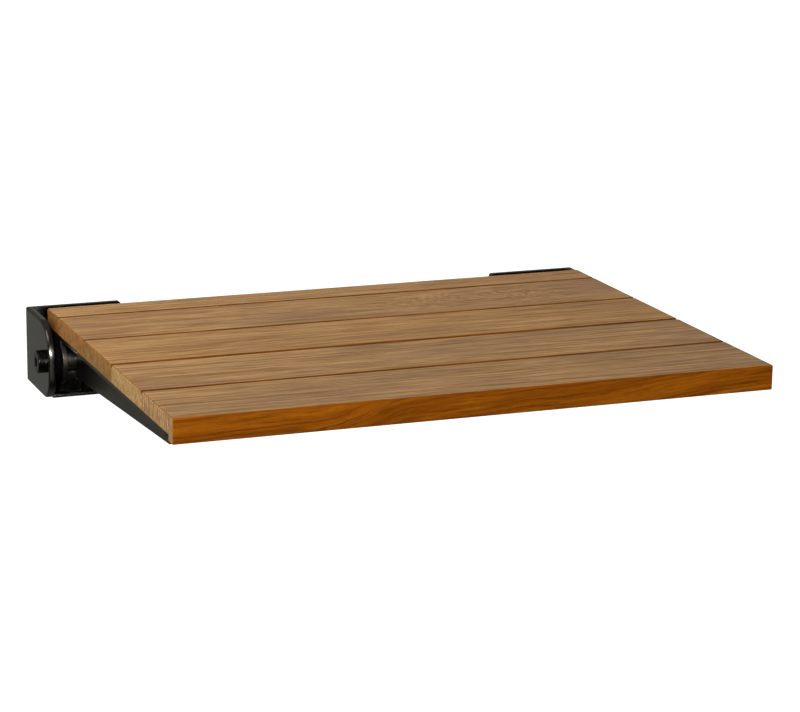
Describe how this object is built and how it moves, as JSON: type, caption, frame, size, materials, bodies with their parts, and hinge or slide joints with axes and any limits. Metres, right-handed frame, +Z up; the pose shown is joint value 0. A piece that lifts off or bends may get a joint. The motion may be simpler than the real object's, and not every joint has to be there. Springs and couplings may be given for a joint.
{
  "type": "fold-up shower seat",
  "caption": "Wall-mounted fold-up shower seat: grooved teak boards on two tapered steel arms, hinged in dark steel wall brackets.",
  "frame": {"origin": "centre of the inner rectangle of wall-screw holes, on the wall plane, level with the hinge axis and midway between the two brackets", "axes": "+Z up, +Y into the wall (the seat reaches out along -Y), +X to the right along the wall as seen from the front"},
  "size_m": [0.5436, 0.417, 0.073],
  "materials": {
    "teak": "satin",
    "teak_nosing": "oiled",
    "bracket_steel": "satin dark bronze",
    "arm_steel": "satin dark bronze",
    "dark_fastener": "satin black",
    "black_nylon": "matte",
    "bronze_bush": "satin"
  },
  "bodies": {
    "root": {"left_wall_bracket": "bracket_steel", "left_shelf_plate": "bracket_steel", "left_stop_bar": "bracket_steel", "left_bearing_lug": "bracket_steel", "left_pivot_bolt": "dark_fastener", "left_spacer_washer": "black_nylon", "left_inner_washer": "black_nylon", "left_nut_washer": "dark_fastener", "left_lock_nut": "dark_fastener", "right_wall_bracket": "bracket_steel", "right_shelf_plate": "bracket_steel", "right_stop_bar": "bracket_steel", "right_bearing_lug": "bracket_steel", "right_pivot_bolt": "dark_fastener", "right_spacer_washer": "black_nylon", "right_inner_washer": "black_nylon", "right_nut_washer": "dark_fastener", "right_lock_nut": "dark_fastener"},
    "seat": {"rear_board": "teak", "second_board": "teak", "middle_board": "teak", "fourth_board": "teak", "front_board": "teak", "front_nosing": "teak_nosing", "left_arm": "arm_steel", "left_pivot_bush": "bronze_bush", "left_levelling_screw": "dark_fastener", "left_levelling_nut": "dark_fastener", "left_arm_screws": "dark_fastener", "right_arm": "arm_steel", "right_pivot_bush": "bronze_bush", "right_levelling_screw": "dark_fastener", "right_levelling_nut": "dark_fastener", "right_arm_screws": "dark_fastener"}
  },
  "joints": [
    {"name": "seat_fold", "type": "hinge", "parent": "root", "child": "seat", "pos_m": [0, -0.0645, 0], "axis": [-1, 0, 0], "range_deg": [0, 90]}
  ]
}
